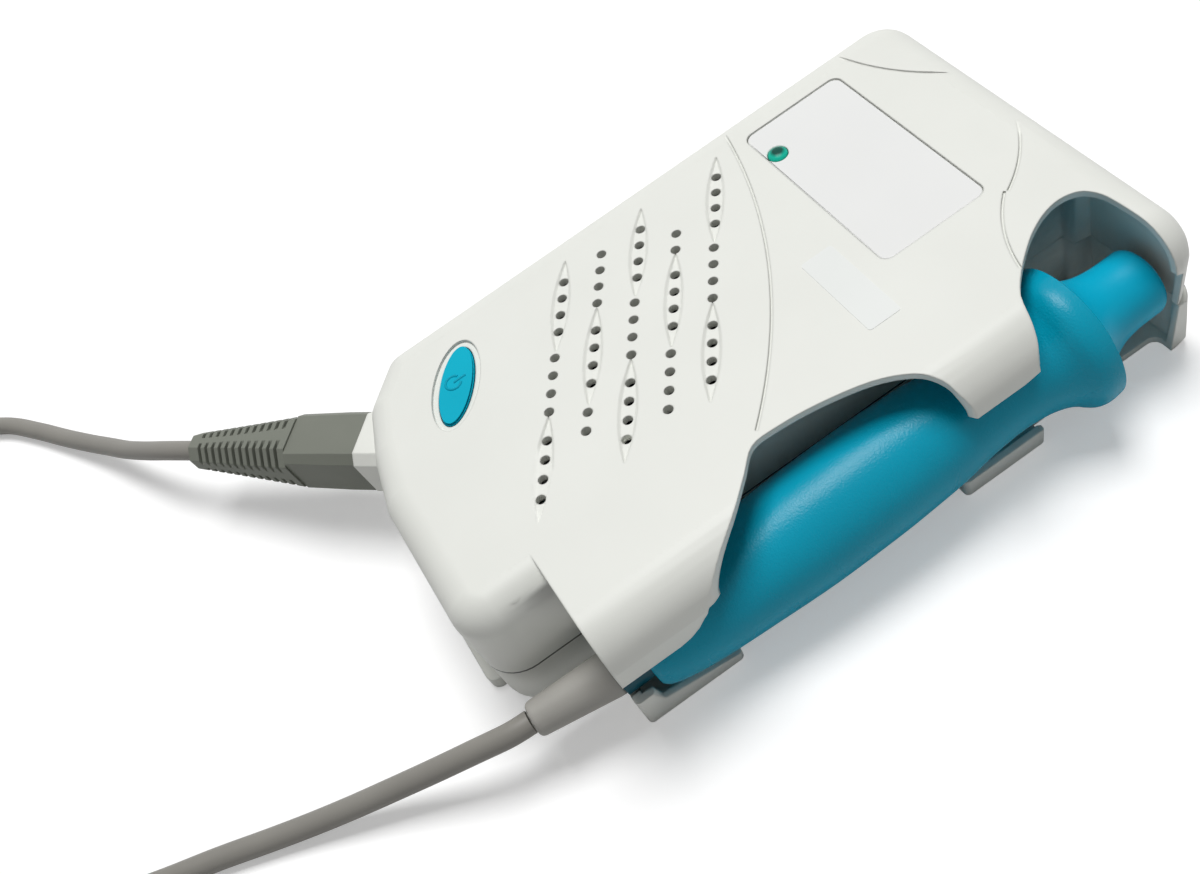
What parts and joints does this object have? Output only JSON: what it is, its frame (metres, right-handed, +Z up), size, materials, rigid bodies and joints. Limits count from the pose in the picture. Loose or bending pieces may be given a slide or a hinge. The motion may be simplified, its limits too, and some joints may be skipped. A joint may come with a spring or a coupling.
{
  "type": "pocket vascular doppler",
  "caption": "Hand-held box with an angled loudspeaker grille, a side holder that carries a pencil probe, and a lead from the probe to a plug on the corner; listens to blood flow.",
  "frame": {"origin": "on the flat back of the case, midway along its length and its width, where it rests", "axes": "+X towards the side that holds the probe, +Y along the case from the plug's end to the panel's end, +Z up through the face with the grille"},
  "size_m": [0.1985, 0.3276, 0.0358],
  "materials": {
    "case_white": "satin",
    "panel_white": "smooth",
    "lamp_green": "clear green",
    "button_teal": "satin",
    "probe_teal": "fine satin texture",
    "head_cyan": "fine satin texture",
    "neck_dark": "satin",
    "lens_grey": "smooth",
    "relief_grey": "matt",
    "plug_grey": "satin",
    "boot_grey": "matt",
    "cord_grey": "matt",
    "tie_black": "matt",
    "board_green": "solder mask",
    "black_plastic": "matt",
    "wheel_grey": "ribbed",
    "foam_black": "foam",
    "paper_black": "paper cone",
    "steel": "bright",
    "contact_brass": "bright",
    "cell_wrap": "wrapped"
  },
  "bodies": {
    "case": {"top_cover": "case_white", "bottom_shell": "case_white", "socket_collar": "case_white", "label_panel": "panel_white", "led_lens": "lamp_green", "plug_shell": "plug_grey", "plug_boot": "boot_grey", "cord_plug_run": "cord_grey", "cord_coil": "cord_grey", "cord_probe_run": "cord_grey", "cord_tie": "tie_black", "main_board": "board_green", "button_board": "board_green", "tact_switch": "black_plastic", "board_parts": "black_plastic", "volume_pot": "black_plastic", "earphone_jack": "black_plastic", "probe_socket": "black_plastic", "speaker_gasket": "foam_black", "speaker_cone": "paper_black", "speaker_frame": "steel", "speaker_magnet": "steel", "board_screws": "steel", "case_screws": "steel", "battery_springs": "steel", "contact_plates": "contact_brass", "plug_pins": "contact_brass", "battery_cells": "cell_wrap"},
    "probe": {"probe_body": "probe_teal", "probe_head": "head_cyan", "probe_lens": "lens_grey", "probe_neck": "neck_dark", "probe_relief": "relief_grey"},
    "button": {"power_button": "button_teal", "switch_plunger": "black_plastic"},
    "wheel": {"volume_wheel": "wheel_grey"},
    "door": {"battery_door": "case_white"}
  },
  "joints": [
    {"name": "power_press", "type": "slide", "parent": "case", "child": "button", "axis": [0, 0, -1], "range_m": [0, 0.0008], "stiffness_N_per_m": 400, "springref_m": -0.001},
    {"name": "volume_turn", "type": "hinge", "parent": "case", "child": "wheel", "pos_m": [-0.0392, 0.026, 0.0225], "axis": [0, 0, 1], "range_deg": [0, 270]},
    {"name": "door_slide", "type": "slide", "parent": "case", "child": "door", "axis": [0, -1, 0], "range_m": [0, 0.02]},
    {"name": "probe_swing", "type": "hinge", "parent": "case", "child": "probe", "pos_m": [0.0334, -0.045, 0.0131], "axis": [0, 0, -1], "range_deg": [0, 10]}
  ]
}
